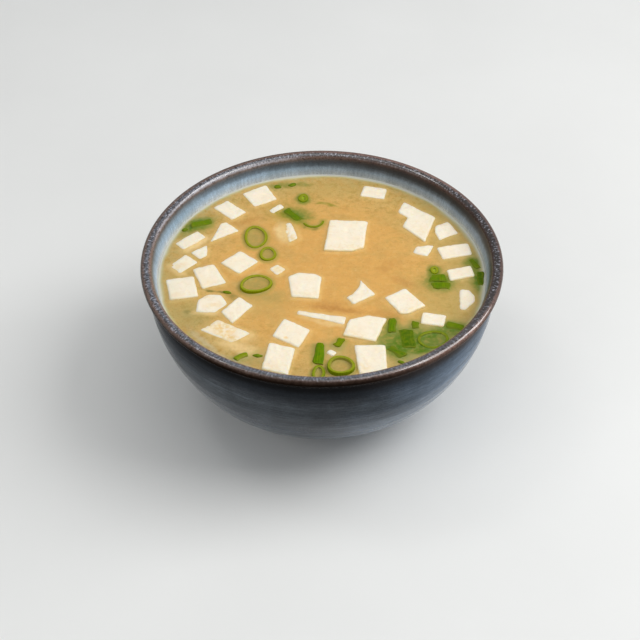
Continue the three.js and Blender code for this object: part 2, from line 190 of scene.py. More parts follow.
def lattice_noise(points, cell, seed):
    """Smooth noise from -1 to 1: a random value at each corner of a cubic lattice with that
    cell, blended across the cell by a smoothstep in each direction. The large numbers only
    scramble a corner's place."""
    where = points / cell
    base = np.floor(where).astype(np.int64)
    part = where - base
    part = part * part * (3 - 2 * part)
    total = np.zeros(len(points))
    for corner in np.ndindex(2, 2, 2):
        x, y, z = (base + np.array(corner)).T
        mixed = (x * 73856093) ^ (y * 19349663) ^ (z * 83492791) ^ (seed * 2654435761)
        mixed = (((mixed ^ (mixed >> 15)) & 0xFFFFFFFF) * 2246822519) & 0xFFFFFFFF
        mixed = ((mixed ^ (mixed >> 13)) * 3266489917) & 0xFFFFFFFF
        share = np.prod(np.where(np.array(corner) == 1, part, 1 - part), axis=1)
        total += share * ((mixed ^ (mixed >> 16)) / 0x7FFFFFFF - 1)
    return total


def grid_faces(rows, columns, closed_rows=False, closed_columns=False):
    """Four-sided faces between neighbouring points of a grid numbered row by row."""
    i = np.arange(rows if closed_rows else rows - 1)[:, None]
    j = np.arange(columns if closed_columns else columns - 1)[None, :]
    here = i * columns
    after = (i + 1) % rows * columns
    beside = (j + 1) % columns
    corners = np.broadcast_arrays(here + j, here + beside, after + beside, after + j)
    return np.stack(corners, axis=-1).reshape(-1, 4)


def into_scene(name, data):
    """A new object in the scene for that mesh, light or camera."""
    item = bpy.data.objects.new(name, data)
    bpy.context.scene.collection.objects.link(item)
    return item


def make_piece(name, points, faces, material, slot, replaced=(), **values):
    """A smooth mesh piece from points in millimetres, its doubles merged and faces outwards.

    Each of the values, numbers or colours, is kept as an attribute for the material to read."""
    mesh = bpy.data.meshes.new(name)
    mesh.from_pydata(points * MM, [], faces)
    for key, value in values.items():
        kind, field = ("FLOAT", "value") if value.ndim == 1 else ("FLOAT_COLOR", "color")
        attribute = mesh.attributes.new(key, kind, "POINT")
        attribute.data.foreach_set(field, value.astype(np.float32).ravel())
    work = bmesh.new()
    work.from_mesh(mesh)
    bmesh.ops.remove_doubles(work, verts=work.verts, dist=WELD * MM)
    bmesh.ops.recalc_face_normals(work, faces=work.faces)
    work.to_mesh(mesh)
    work.free()
    mesh.polygons.foreach_set("use_smooth", np.ones(len(mesh.polygons), bool))
    mesh.materials.append(material)
    piece = into_scene(name, mesh)
    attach(piece, "root")
    if replaced:
        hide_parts(*replaced)


def bowl_surface():
    """The profile turned round the Z axis. Each point moves in or out by three small swells: the
    ovalness of a hand-thrown pot, the potter's finger rings, and the uneven thickness of glaze.

    With it come the place across the lip, how far a point lies towards the side where the glaze is
    painted lit outside and in shade inside, the rings and the bare foot."""
    profile, along = bowl_profile()
    angle = np.linspace(0, 2 * np.pi, BOWL_SIDES, endpoint=False)
    radius, height = profile[:, :1], profile[:, 1:]
    round_z = np.broadcast_arrays(radius * np.cos(angle), radius * np.sin(angle), height)
    points = np.stack(round_z, axis=-1).reshape(-1, 3)
    along = np.repeat(along, BOWL_SIDES)
    upper = (points[:, 2] / BOWL_HEIGHT) ** 2
    turn = np.arctan2(points[:, 1], points[:, 0])
    ovalness = 0.08 * upper * (np.sin(2 * turn + 0.6) + 0.6 * np.sin(3 * turn + 2.1))
    on_belly = np.clip((-7 - along) / 8, 0, 1) * np.clip((along + 76) / 10, 0, 1)
    wander = 1.8 * lattice_noise(points, 34, 3)
    rings = 0.7 * np.sin(2 * np.pi * along / RING_SPACING + wander)
    rings += 0.3 * np.sin(2 * np.pi * along / FINE_SPACING - wander)
    rings *= on_belly
    glaze = 0.035 * lattice_noise(points, 6, 5) + 0.008 * lattice_noise(points, 1.8, 7)
    glaze *= np.abs(along) > 3
    out = np.clip(points[:, 2] - 0.4, 0, 1) * (ovalness + 0.07 * rings + glaze)
    reach = np.hypot(points[:, 0], points[:, 1])
    points[:, :2] *= (1 + out * (reach > 5) / np.maximum(reach, 5))[:, None]
    # How far each point lies towards the window's side, where light and shade are painted into the
    # glaze.
    toward_window = 0.5 + 0.5 * np.cos(turn - math.radians(WINDOW_SIDE))
    run = (0.5 + 0.5 * np.sin(turn)) ** 2 * (0.9 + 0.7 * np.clip((2.2 - along) / 1.5, 0, 1))
    values = {
        "band": along - run,
        "window_side": np.clip((toward_window - 0.35) / 0.55, 0, 1),
        "ridge": rings,
        "bare": ((points[:, 2] < 0.5) & (reach > FOOT_RADIUS - FOOT_RING - 1)).astype(float),
    }
    return points, grid_faces(len(profile), BOWL_SIDES, closed_columns=True), values


def tone(red, green, blue):
    """A colour as the eye sees it, 0 to 255, as the linear values that a shader takes."""
    seen = np.array([red, green, blue]) / 255
    linear = np.where(seen <= 0.04045, seen / 12.92, ((seen + 0.055) / 1.055) ** 2.4)
    return (*linear.tolist(), 1.0)


class Shader:
    """A material being put together node by node."""

    def __init__(self, name):
        self.material = bpy.data.materials.new(name)
        self.material.use_nodes = True
        self.tree = self.material.node_tree
        self.tree.nodes.clear()

    def add(self, kind, inputs, output=0, **settings):
        """A node with its settings, its inputs set or linked; returns one of its outputs."""
        node = self.tree.nodes.new("ShaderNode" + kind)
        for key, value in settings.items():
            setattr(node, key, value)
        for key, value in inputs.items():
            if isinstance(value, bpy.types.NodeSocket):
                self.tree.links.new(value, node.inputs[key])
            else:
                node.inputs[key].default_value = value
        return node.outputs[output]

    def place(self, stretch=(1, 1, 1), shift=0.0):
        """Object coordinates in millimetres, squeezed along each axis by a factor."""
        spot = self.add("TexCoord", {}, "Object")
        scale = [s / MM for s in stretch]
        return self.add("Mapping", {"Vector": spot, "Scale": scale, "Location": (shift, 0, 0)})

    def value(self, name, output="Fac"):
        """One of the piece's own attributes."""
        return self.add("Attribute", {}, output, attribute_name=name)

    def noise(self, size, detail=2.0, stretch=(1, 1, 1), shift=0.0):
        """Cloudy noise from 0 to 1 with features of that size in millimetres."""
        spot = self.place(stretch, shift)
        return self.add("TexNoise", {"Vector": spot, "Scale": 1 / size, "Detail": detail})

    def math(self, kind, a, b, c=0.0):
        """Arithmetic on two or three numbers or outputs."""
        return self.add("Math", {0: a, 1: b, 2: c}, operation=kind)

    def times(self, a, b):
        """The product of two numbers or outputs."""
        return self.math("MULTIPLY", a, b)

    def fade(self, value, low, high, start=0.0, end=1.0, shape="SMOOTHSTEP"):
        """Start up to low, end from high on, and a gradual change between."""
        limits = {"Value": value, "From Min": low, "From Max": high, "To Min": start, "To Max": end}
        return self.add("MapRange", limits, interpolation_type=shape)

    def between(self, value, low, full, high, gone):
        """0 up to low, 1 from full to high, and 0 again from gone on."""
        rise = self.fade(value, low, full)
        return self.times(rise, self.fade(value, high, gone, 1, 0))

    def ramp(self, factor, stops):
        """A colour looked up along a row of (position, colour) stops."""
        output = self.add("ValToRGB", {0: factor})
        row = output.node.color_ramp.elements
        while len(row) < len(stops):
            row.new(1.0)
        for stop, (position, colour) in zip(row, stops):
            stop.position = position
            stop.color = tone(*colour)
        return output

    def mix(self, factor, a, b, kind="MIX"):
        """The second colour laid over the first by the factor."""
        return self.add("Mix", {0: factor, 6: a, 7: b}, 2, data_type="RGBA", blend_type=kind)

    def tint(self, colour, factor, strength, seen):
        """Another colour laid over one by the product of a factor and a strength."""
        return self.mix(self.times(factor, strength), colour, tone(*seen))

    def shade(self, colour, factor):
        """A colour made darker or lighter by a factor that varies."""
        grey = self.add("CombineColor", {0: factor, 1: factor, 2: factor})
        return self.mix(1, colour, grey, "MULTIPLY")

    def bump(self, height, depth):
        """The surface's normal over a height from 0 to 1 that is depth millimetres deep."""
        return self.add("Bump", {"Height": height, "Strength": 1, "Distance": depth * MM})

    def finish(self, inputs):
        """Closes the material with a principled surface."""
        surface = self.add("BsdfPrincipled", inputs)
        output = self.tree.nodes.new("ShaderNodeOutputMaterial")
        self.tree.links.new(surface, output.inputs["Surface"])
        return self.material


def glaze_material():
    """Reactive glaze. Its colour follows the distance from the lip's crest, pushed about by noise: slate
    outside, brown where it thins, speckled lavender on the lip, pale blue inside. Light and shade are
    painted into it: lit and shaded sides, a lit and a shaded belly, and highlights on the lip."""
    s = Shader("reactive_glaze")
    band = s.math("ADD", s.value("band"), s.math("MULTIPLY_ADD", s.noise(1.3, 3), 1, -0.5))
    position = s.fade(band, -BAND_REACH, BAND_REACH, shape="LINEAR")
    rows = [((mm + BAND_REACH) / (2 * BAND_REACH), *colours) for mm, *colours in GLAZE_BANDS]
    # Painted light and shade: one table for the side away from the window and one for the side towards
    # it, mixed by direction.
    away_side = s.ramp(position, [(place, colour) for place, colour, _ in rows])
    window_side = s.ramp(position, [(place, colour) for place, _, colour in rows])
    colour = s.mix(s.fade(s.value("window_side"), 0, 1), away_side, window_side)

    # The belly is painted lit towards the window and painted in shade on its other side, mixed by
    # direction.
    most_lit = math.radians(LIT_SIDE)
    facing = s.add("VectorMath", {0: s.place(), 1: (math.cos(most_lit), math.sin(most_lit), -0.8)},
                   "Value", operation="DOT_PRODUCT")
    side = s.fade(s.math("ADD", facing, s.math("MULTIPLY_ADD", s.noise(26, 3), 30, -15)), -4, 46)
    height = s.add("SeparateXYZ", {"Vector": s.place()}, "Z")
    shaded = s.ramp(s.fade(height, 5, 50, shape="LINEAR"), BELLY_SHADED)
    belly = s.mix(side, shaded, tone(*BELLY_LIT))
    # The finger rings are painted lighter on their ridges and darker in their grooves, a painted shading
    # of their relief.
    belly = s.shade(belly, s.math("MULTIPLY_ADD", s.value("ridge"), 0.09, 1))
    drag = s.fade(s.noise(0.8, 3, (0.25, 0.25, 1), shift=8), 0.3, 0.7, 0.87, 1.13, "LINEAR")
    belly = s.shade(belly, drag)
    scored = s.fade(s.noise(0.45, 3, (0.03, 0.03, 1), shift=60), 0.3, 0.7, 0.8, 1.2, "LINEAR")
    belly = s.shade(belly, scored)
    colour = s.mix(s.fade(band, -13.5, -8, 1, 0), colour, belly)

    outward = s.add("VectorMath", {0: s.place((1, 1, 0))}, operation="NORMALIZE")

    def region(toward, reach, low, high):
        """1 where the direction from the axis and the place across the lip are both in range,
        with a soft border."""
        turn = math.radians(toward)
        along = s.add("VectorMath", {0: outward, 1: (math.cos(turn), math.sin(turn), 0)}, "Value",
                      operation="DOT_PRODUCT")
        beside = s.fade(along, math.cos(math.radians(reach)), math.cos(math.radians(reach * 0.4)))
        return s.times(beside, s.between(band, low, low + 0.9, high, high + 1.4))

    shine = 1.0
    # Painted light and shade, with the glaze made glassier or duller there.
    for toward, reach, low, high, dimmed, dulled in PAINTED_LIGHT_AND_SHADE:
        lit_or_shaded = region(toward, reach, low, high)
        colour = s.shade(colour, s.math("MULTIPLY_ADD", lit_or_shaded, -dimmed, 1))
        shine = s.times(shine, s.math("MULTIPLY_ADD", lit_or_shaded, -dulled, 1))
    # A painted highlight of the window on the lip's inner shoulder.
    colour = s.tint(colour, region(*LIP_HIGHLIGHT), 0.85, (204, 208, 219))
    lift = s.add("CombineXYZ", {"Z": s.times(band, 0.6)})
    round_lip = s.add("VectorMath", {0: outward, 3: SPECKLE_ROUND}, operation="SCALE")
    unrolled = s.add("VectorMath", {0: round_lip, 1: lift})
    blots = s.add("TexNoise", {"Vector": unrolled, "Scale": 1.6, "Detail": 2})
    on_lip = s.between(band, -1.3, -0.5, 0.8, 2)
    on_lip = s.times(on_lip, s.math("MULTIPLY_ADD", region(*CALM), -0.5, 1))
    dark = s.times(s.fade(blots, 0.36, 0.48, 1, 0), on_lip)
    colour = s.tint(colour, dark, 0.75, (36, 30, 30))
    light = s.times(s.fade(blots, 0.55, 0.66), on_lip)
    colour = s.tint(colour, light, 0.55, (184, 184, 196))
    near_lip = s.between(band, -3.5, -2, 2.2, 4)
    burnt = s.times(near_lip, s.fade(s.noise(0.75, 3, shift=2), 0.5, 0.68))
    colour = s.tint(colour, burnt, 0.55, (40, 28, 25))
    streaks = s.fade(s.noise(0.9, 3, (1, 1, 0.12)), 0.3, 0.7, 0.88, 1.08)
    colour = s.mix(s.fade(band, 3, 5), colour, s.shade(colour, streaks))
    clouds = s.fade(s.noise(7, 4, (1, 1, 0.5)), 0.3, 0.7, 0.9, 1.08)
    colour = s.shade(colour, clouds)
    freckles = s.fade(s.noise(0.5, 2, shift=14), 0.3, 0.7, 0.86, 1.16, "LINEAR")
    colour = s.shade(colour, freckles)

    clay = s.mix(s.noise(0.8, 4), tone(150, 122, 96), tone(188, 162, 132))
    colour = s.mix(s.value("bare"), colour, clay)
    gloss = s.fade(s.noise(1.6, 3, shift=4), 0.3, 0.7, 0.07, 0.15)
    gloss = s.math("ADD", gloss, s.fade(band, 1.5, 3, 0, 0.25))
    rough = s.add("Mix", {0: s.value("bare"), 2: gloss, 3: 0.8})
    skin = s.bump(s.noise(3, 2), 0.02)

    # The glaze shines most on the lip's crest, and more low on the belly than under the lip.
    on_crest = s.between(band, -2.8, -1.2, 0.8, 1.9)
    low_belly = s.fade(height, 26, 44, 0.25, 0)
    glassy = s.math("MULTIPLY_ADD", on_crest, 0.55, s.fade(band, -2.6, 2, 0.08, 0.3))
    index = s.math("MULTIPLY_ADD", glassy, shine, 1)
    index = s.math("ADD", index, s.times(low_belly, s.fade(band, -14, -10, 1, 0)))
    return s.finish({"Base Color": colour, "Roughness": rough, "Normal": skin, "IOR": index})


bowl_points, bowl_faces, bowl_values = bowl_surface()
make_piece("bowl_glazed", bowl_points, bowl_faces, glaze_material(), "glaze", ["bowl"], **bowl_values)


# ---- Soup ----------------------------------------
# Miso stirred into stock: an opaque, cloudy broth of fine soybean grains. It fills the bowl to
# a little under the lip, climbs the glaze and the floating pieces, and hides what has sunk.

SOUP_CELLS = 290
WALL_FILM = 0.2      # how far the soup's edge reaches into the glaze, so that no air shows
HIDDEN_GAP = 0.35    # how far its hidden side keeps off the wall and the floor
# How high it climbs: up the wall, and up a piece as a share of what stands out of the soup, but
# never higher than the last. The climb fades away over the widths that follow.
WALL_CLIMB = 0.5
PIECE_CLIMB = {"tofu": 0.42, "scallion": 0.45}
HIGHEST_CLIMB = 0.38
WALL_FADE = 0.8
PIECE_FADE = 0.6
FOOD_REACH = 4.0     # how far from a floating piece the soup still takes notice of it

# What shows through the top of the soup: the tints, and then the soft oval patches from the
# deepest up, with place, half-lengths, turn, strength and tint.
TINTS = {
    "leaf": (82, 116, 8), "jade": (116, 130, 46), "olive": (138, 134, 34), "pale": (162, 146, 78),
    "fleck": (98, 104, 34), "brown": (180, 122, 56), "glow": (236, 204, 144), "mist": (160, 152, 94),
    "murk": (186, 160, 92), "moss": (108, 124, 44), "cream": (204, 192, 160), "lightened_lime": (158, 186, 20),
}
PATCHES = [
    (46, -16, 15, 15, 0, 0.6, "murk"), (49, 12, 9, 17, 10, 0.6, "murk"),
    (44, 34, 12, 6, -42, 0.5, "murk"), (-50, -4, 6, 22, 0, 0.4, "murk"),
    (-26, -14, 15, 8, -20, 0.4, "murk"), (2, 50, 26, 5, 0, 0.35, "murk"),
    (-12, 34, 9, 6, -35, 0.6, "olive"), (-8.6, 35.2, 5.6, 3, -25, 0.8, "jade"),
    (-14.8, 34.4, 3.4, 1.5, -20, 0.7, "olive"), (-6.2, 33, 3.2, 1.8, -10, 0.6, "jade"),
    (-10.6, 33.8, 4.6, 2.4, -44, 0.85, "leaf"), (-47.5, 26.5, 8.6, 4.2, 35, 0.8, "jade"),
    (-45.6, 29.4, 4.6, 3.2, 14, 0.9, "leaf"), (-50.4, 26, 3.6, 2.2, 30, 0.8, "leaf"),
    (-14.4, 52.6, 7, 2, 8, 0.7, "jade"), (-6.6, 52.8, 3.2, 1.3, 0, 0.6, "jade"),
    # The lime inside ring 4 is a painted light that offsets the shade in its narrow hole.
    (-7.1, 44.2, 2.4, 3, 0, 0.9, "leaf"), (-7.1, 44.2, 1.1, 1.6, 0, 1, "lightened_lime"),
    (-0.9, 41.6, 2.4, 0.7, -6, 0.85, "olive"), (3.4, 40.4, 2.8, 0.7, -24, 0.85, "olive"),
    (42.4, -4.8, 6.6, 5, 0, 0.75, "jade"), (42.2, -4.8, 4.2, 4.4, 0, 0.9, "leaf"),
    # The lime inside ring 5 is a painted light that offsets the shade in its narrow hole.
    (40.9, 1.5, 2.4, 3, 0, 0.9, "leaf"), (40.9, 1.5, 1, 1.6, 0, 1, "lightened_lime"),
    (56.4, -1.6, 3.6, 11, 4, 0.9, "jade"), (57, -3.4, 2, 5.4, 0, 0.95, "leaf"),
    (57, -4.6, 4.8, 2, 88, 0.8, "leaf"), (55.4, 6.4, 2.6, 3.6, -60, 0.85, "leaf"),
    (53.6, 14, 2, 5, 12, 0.5, "mist"), (33, -36, 19, 10, 14, 0.9, "mist"),
    (34, -35.6, 14, 7, 14, 0.85, "jade"), (22.6, -34, 4.2, 7.5, 0, 0.8, "jade"),
    (29.4, -34.8, 4.6, 5.8, 0, 0.9, "leaf"), (26, -41, 5.4, 3.2, -45, 0.9, "leaf"),
    (46.4, -29.6, 5.6, 3.6, -14, 0.9, "leaf"), (24.6, -28.6, 2.8, 5, 0, 0.8, "jade"),
    (31.6, -45.2, 7.5, 2.8, 22, 0.75, "mist"), (38.4, -35.8, 5.2, 4.4, 12, 0.9, "moss"),
    (38.8, -32.4, 5.6, 1.7, 12, 0.85, "leaf"), (33.6, -37.2, 2, 3.4, 12, 0.6, "leaf"),
    (34, -39.9, 3.8, 2, 8, 0.95, "leaf"), (27.4, -38.4, 3.6, 2.6, -30, 0.95, "leaf"),
    (36.6, -33.8, 1.8, 1.3, 20, 0.7, "leaf"), (-27.6, -47.6, 15, 1.3, -30, 0.6, "cream"),
    (-41.4, -35.4, 8, 1.2, -50, 0.5, "cream"), (6, -19.4, 9, 1.4, -12, 0.7, "brown"),
    (30, -5, 6, 2, -30, 0.3, "brown"), (-24.6, 20.3, 3.8, 6, 4, 0.8, "pale"),
    (-19.8, 10.5, 2.6, 3.4, 0, 0.8, "pale"), (-23.6, -6.4, 5.4, 4.3, 24, 0.85, "pale"),
    (-19.6, -12.4, 7.5, 3, -15, 0.5, "pale"), (-44.5, -22.5, 7, 5.5, -60, 0.45, "mist"),
    (-0.9, -51.8, 2, 3.6, 0, 0.9, "pale"), (6.4, -48.9, 4.1, 3.9, 0, 0.6, "pale"),
    (3, -40.4, 8, 4.2, 0, 0.55, "mist"), (-24.6, -44.4, 8, 3.6, 14, 0.55, "mist"),
    (-23.4, -41.6, 2.4, 1.2, 14, 0.7, "olive"), (-15.2, 23.6, 2.4, 5.6, 8, 1, "glow"),
    (-46.4, 16.6, 6, 1.9, 41, 0.95, "glow"), (-53, 1.4, 4, 1.6, -40, 0.6, "glow"),
    (-26, -2, 5.4, 1, 45, 0.4, "glow"), (-29, -38.8, 8, 2.8, -24, 0.8, "glow"),
    (-26, -33.6, 3, 3, 0, 0.5, "glow"), (-40.6, -21.4, 4.6, 1.4, -4, 0.7, "glow"),
    (2, -26.8, 8, 1, -16, 0.5, "glow"), (-9.6, -41.4, 1.4, 3, 0, 0.3, "glow"),
    (-39.8, -9.6, 1.8, 0.7, -10, 0.85, "fleck"), (-36.4, -10.6, 2, 0.6, -20, 0.85, "fleck"),
    (-31.8, -12.4, 2.6, 1.4, -30, 0.5, "fleck"), (-47, -20.6, 1.4, 1, 0, 0.5, "fleck"),
    (-2.4, 25.6, 1.2, 0.7, 30, 0.6, "fleck"), (-6.2, 26.4, 1, 0.6, 0, 0.5, "fleck"),
    (22.4, -22.8, 6, 3, -10, 0.35, "brown"), (2, -16.5, 7, 2.2, 0, 0.35, "brown"),
    (-29, 30, 7, 1.6, 20, 0.35, "brown"), (24, 4, 5, 3, 30, 0.25, "brown"),
]


def flat_triangles(node):
    """A node's triangles as seen from above, without those that stand on edge."""
    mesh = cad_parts[node].data
    mesh.calc_loop_triangles()
    corners = np.empty(len(mesh.loop_triangles) * 3, np.int32)
    mesh.loop_triangles.foreach_get("vertices", corners)
    points = np.empty(len(mesh.vertices) * 3)
    mesh.vertices.foreach_get("co", points)
    flat = points.reshape(-1, 3)[corners].reshape(-1, 3, 3)[:, :, :2] / MM
    (ax, ay), (bx, by) = (flat[:, 1] - flat[:, 0]).T, (flat[:, 2] - flat[:, 0]).T
    return flat[np.abs(ax * by - ay * bx) > 0.02]


def outside_by(points, node):
    """How far each point lies outside a node's outline seen from above: 0 within it, and never
    more than FOOD_REACH. The distance is that to the nearest edge of the node's triangles."""
    start = flat_triangles(node)
    side = np.roll(start, -1, axis=1) - start
    low, high = start.min((0, 1)) - FOOD_REACH, start.max((0, 1)) + FOOD_REACH
    near = np.flatnonzero(((points[:, :2] > low) & (points[:, :2] < high)).all(axis=1))
    to_point = points[near, None, None, :2] - start
    share = np.clip((to_point * side).sum(-1) / (side**2).sum(-1), 0, 1)
    gap = np.linalg.norm(to_point - share[..., None] * side, axis=-1).min((1, 2))
    turn = side[..., 0] * to_point[..., 1] - side[..., 1] * to_point[..., 0]
    within = ((turn > 0).all(-1) | (turn < 0).all(-1)).any(-1)
    distance = np.full(len(points), FOOD_REACH)
    distance[near] = np.minimum(np.where(within, 0, gap), FOOD_REACH)
    return distance


def cover(points, x, y, half_long, half_wide, turn):
    """A soft oval: 1 in its middle, and fading outwards as exp(-d³), d being 1 at its edge."""
    angle = math.radians(turn)
    away = points[:, :2] - (x, y)
    along = (away @ (math.cos(angle), math.sin(angle))) / half_long
    across = (away @ (-math.sin(angle), math.cos(angle))) / half_wide
    return np.exp(-(along**2 + across**2) ** 1.5)


def stains(points):
    """Colour and strength of the patches, each laid over those before it. Their places are pushed
    about by noise, which leaves their edges ragged."""
    push = np.stack([lattice_noise(points, 2.6, seed) for seed in (41, 43)], axis=-1)
    push += 0.5 * np.stack([lattice_noise(points, 1.1, seed) for seed in (45, 47)], axis=-1)
    spots = points[:, :2] + 0.9 * push
    colour = np.zeros((len(points), 4))
    for *oval, strength, tint in PATCHES:
        over = strength * cover(spots, *oval)[:, None]
        colour = colour * (1 - over) + over * np.array(tone(*TINTS[tint]))
    colour[:, :3] /= np.maximum(colour[:, 3:], 1e-4)
    return colour


def soup_surface():
    """The top is a square grid pressed into a disc, x = s sqrt(1 - t²/2) and y = t sqrt(1 - s²/2).
    It climbs the wall and each floating piece by the climb times exp(-distance / width). A skirt
    carries its edge down along the bowl's inner wall to the floor, where it closes.

    With it come each point's distances to the wall, to the nearest tofu and to scallion."""
    side = np.linspace(-1, 1, SOUP_CELLS + 1)
    s, t = np.meshgrid(side, side)
    radius = SOUP_RADIUS + WALL_FILM
    disc = np.stack([s * np.sqrt(1 - t**2 / 2), t * np.sqrt(1 - s**2 / 2), 0 * s], axis=-1)
    top = disc.reshape(-1, 3) * radius
    to_wall = radius - np.hypot(top[:, 0], top[:, 1])
    climb = np.zeros(len(top))
    nearest = {kind: np.full(len(top), FOOD_REACH) for kind in PIECE_CLIMB}
    for node in (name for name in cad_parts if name.startswith(("tofu", "scallion"))):
        gap = outside_by(top, node)
        kind = node.split("_")[0]
        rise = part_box(node)[1].z / MM - SOUP_LEVEL
        lift = min(PIECE_CLIMB[kind] * rise, HIGHEST_CLIMB)
        climb = np.maximum(climb, lift * np.exp(-gap / PIECE_FADE) * (gap < FOOD_REACH))
        nearest[kind] = np.minimum(nearest[kind], gap)
    ripple = 0.02 * lattice_noise(top, 9, 11)
    top[:, 2] = SOUP_LEVEL + WALL_CLIMB * np.exp(-to_wall / WALL_FADE) + climb + ripple
    count = SOUP_CELLS + 1
    index = np.arange(count * count).reshape(count, count)
    edge = np.concatenate([index[0, :-1], index[:-1, -1], index[-1, :0:-1], index[:0:-1, 0]])
    direction = top[edge, :2] / radius
    wall = inner_wall(10) + (-HIDDEN_GAP, HIDDEN_GAP)
    wall = np.concatenate([wall, [[0, FLOOR_LEVEL + HIDDEN_GAP]]])
    rings = [np.column_stack([direction * r, np.full(len(edge), z)]) for r, z in wall]
    points = np.concatenate([top, top[edge], *rings])
    skirt = grid_faces(len(wall) + 1, len(edge), closed_columns=True) + len(top)
    faces = np.concatenate([grid_faces(count, count), skirt])
    on_top = {"to_wall": to_wall, "to_tofu": nearest["tofu"], "to_green": nearest["scallion"]}
    values = {name: np.concatenate([far, np.tile(far[edge], len(rings) + 1)])
              for name, far in on_top.items()}
    return points, faces, values


def broth_material():
    """Miso broth: orange-tan in the middle and olive towards the wall, clouded at several scales and
    peppered with bean grains. It is paler beside tofu and greener beside scallion, shows the stains of
    what floats just under it, and along the wall has a pale film with a painted highlight of the window
    on its meniscus."""
    s = Shader("miso_broth")
    wander = s.math("MULTIPLY_ADD", s.noise(11, 3), 14, -7)
    depth = s.math("ADD", s.value("to_wall"), wander)
    colour = s.ramp(s.fade(depth, 0, 34, shape="LINEAR"), [
        (0, (180, 162, 104)), (0.15, (194, 166, 102)), (0.42, (209, 169, 98)),
        (0.7, (217, 168, 93)), (1, (219, 167, 91)),
    ])
    murky = s.fade(s.noise(8, 4, shift=31), 0.48, 0.66)
    colour = s.tint(colour, murky, 0.35, (188, 158, 92))
    mottled = s.fade(s.noise(2, 4, shift=77), 0.47, 0.68)
    colour = s.tint(colour, mottled, s.fade(depth, 6, 34, 0.75, 0.14), (174, 142, 66))
    specks = s.fade(s.noise(0.8, 3, shift=90), 0.54, 0.7)
    colour = s.tint(colour, specks, s.fade(depth, 4, 30, 0.45, 0.08), (158, 126, 56))
    fresh = s.fade(s.noise(1.7, 4, shift=61), 0.5, 0.68)
    colour = s.tint(colour, fresh, 0.3, (224, 184, 116))
    cloud = s.fade(s.noise(2.6, 4, shift=3), 0.35, 0.68)
    colour = s.tint(colour, cloud, 0.35, (204, 152, 80))
    grain = s.fade(s.noise(0.55, 2), 0.6, 0.72)
    colour = s.tint(colour, grain, 0.3, (164, 112, 58))
    pale_grain = s.fade(s.noise(0.7, 2, shift=21), 0.6, 0.75)
    colour = s.tint(colour, pale_grain, 0.25, (232, 200, 140))
    by_tofu = s.fade(s.value("to_tofu"), 0, 1.8, 0.4, 0)
    uneven = s.fade(s.noise(3, 2, shift=50), 0.3, 0.6, 0.4, 1)
    colour = s.tint(colour, by_tofu, uneven, (234, 196, 124))
    by_green = s.fade(s.value("to_green"), 0, 2, 0.55, 0)
    colour = s.mix(by_green, colour, tone(142, 144, 50))
    broken = s.fade(s.noise(1.6, 3, shift=40), 0.28, 0.6, 0.65, 1)
    stained = s.times(s.value("stain", "Alpha"), broken)
    colour = s.mix(stained, colour, s.value("stain", "Color"))
    # Along the wall: a pale film and a painted highlight of the window on the meniscus.
    breadth = s.fade(s.noise(14, 2), 0.3, 0.7, 1.5, 2.7)
    film_and_highlight = s.fade(s.math("DIVIDE", s.value("to_wall"), breadth), 0, 1.25, 1, 0)
    colour = s.mix(s.fade(film_and_highlight, 0, 0.6, 0, 0.75), colour, tone(192, 186, 142))
    colour = s.mix(s.fade(film_and_highlight, 0.45, 1, 0, 0.95), colour, tone(210, 209, 196))
    wet = s.bump(s.noise(1.4, 3, shift=6), 0.03)
    return s.finish({"Base Color": colour, "Roughness": 0.3, "IOR": 1.34, "Normal": wet,
                     "Subsurface Weight": 0.2, "Subsurface Radius": (1.0, 0.6, 0.25),
                     "Subsurface Scale": 1.2 * MM})


soup_points, soup_faces, soup_values = soup_surface()
make_piece("soup_broth", soup_points, soup_faces, broth_material(), "broth", ["soup"],
           stain=stains(soup_points), **soup_values)


# ---- Tofu ----------------------------------------
# Silken bean curd cut into blocks with a wet knife. The cut faces are smooth but not flat, the
# edges are soft and a little ragged, and a few blocks lie under a film of soup.

TOFU_VOXEL = 0.34    # the size of the voxels that a block is filled with
TOFU_ROUNDS = 3      # how often the knife's sharp edges are rubbed down
# Where soup covers a block's face: place, half-lengths, turn and strength.
SOUP_FILM = [
    (-34.4, -29.8, 4.4, 3.2, -22, 0.95), (-32.6, -34, 4.6, 1.8, -28, 0.95),
    (-13.4, 23, 1.4, 6.4, 10, 0.8), (-10.6, 20, 2.2, 1.8, 0, 0.7),
    (-12.4, -35, 0.9, 0.8, 0, 0.8), (-15.8, 1.6, 2.4, 1.8, 0, 0.6),
    (-38, -17.6, 3.6, 1.4, 10, 0.4), (-41, -13.6, 2.2, 1.4, 0, 0.4),
    (-6.6, -21.6, 3.6, 0.8, -13, 0.4), (-52, 3.4, 3, 1.6, 40, 0.45),
    (2.7, 25.2, 1, 7, 0, 0.3), (8, 31, 7, 1.2, 0, 0.2),
    (13.2, -50, 3.6, 2.6, 20, 0.35), (-17.6, -49.4, 4.4, 2.2, -10, 0.3),
    (10.6, -33.4, 5, 1.6, -20, 0.25), (30, -21, 4.4, 1.6, 30, 0.3),
    (-41.6, -6.6, 4.6, 1.6, 20, 0.25), (-52.4, -13, 4.6, 1.6, 8, 0.25),
    (9, 13.6, 6.6, 1.6, 0, 0.25), (-6, -12.4, 5.4, 1.4, 0, 0.2),
    (36.4, 23.6, 4, 2, -20, 0.25),
]


